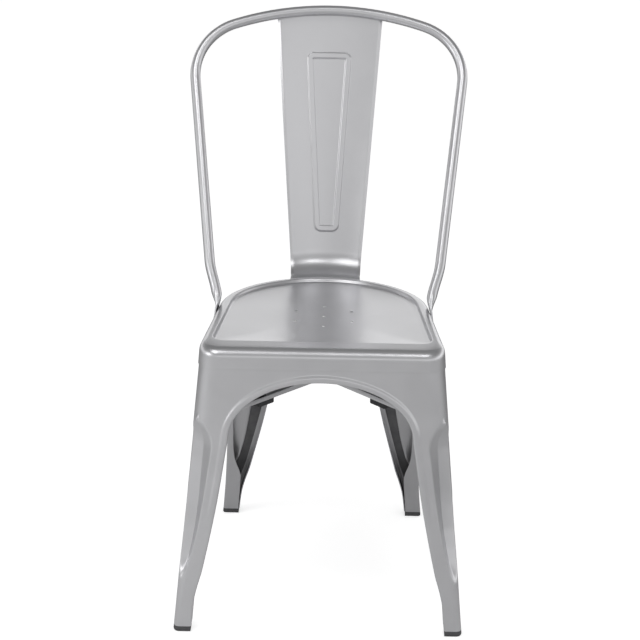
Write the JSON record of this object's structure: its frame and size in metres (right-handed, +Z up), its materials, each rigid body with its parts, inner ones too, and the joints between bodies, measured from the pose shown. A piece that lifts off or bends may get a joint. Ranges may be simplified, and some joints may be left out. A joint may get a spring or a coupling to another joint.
{
  "type": "metal bistro chair",
  "caption": "Stackable sheet metal bistro chair with a dished seat, a bent tube back hoop, a tapered back splat, folded legs with arches, a crossed brace and rubber feet.",
  "frame": {"origin": "on the floor, under the centre of the chair's bounding box", "axes": "+Z up, +X to the right when the chair is seen from its front, +Y towards the back of the chair, so the chair faces -Y"},
  "size_m": [0.4368, 0.5101, 0.8558],
  "materials": {
    "silver_metal": "satin silver coating on pressed steel sheet and tube",
    "rivet_steel": "satin",
    "bumper_rubber": "matt black",
    "foot_rubber": "matt dark grey"
  },
  "bodies": {
    "root": {"seat_pan": "silver_metal", "back_hoop": "silver_metal", "back_splat": "silver_metal", "front_left_leg": "silver_metal", "front_right_leg": "silver_metal", "rear_left_leg": "silver_metal", "rear_right_leg": "silver_metal", "lower_brace_strap": "silver_metal", "upper_brace_strap": "silver_metal", "brace_rivet": "rivet_steel", "front_left_bumper": "bumper_rubber", "front_right_bumper": "bumper_rubber", "rear_left_bumper": "bumper_rubber", "rear_right_bumper": "bumper_rubber", "front_left_foot_cap": "foot_rubber", "front_right_foot_cap": "foot_rubber", "rear_left_foot_cap": "foot_rubber", "rear_right_foot_cap": "foot_rubber"}
  },
  "joints": []
}
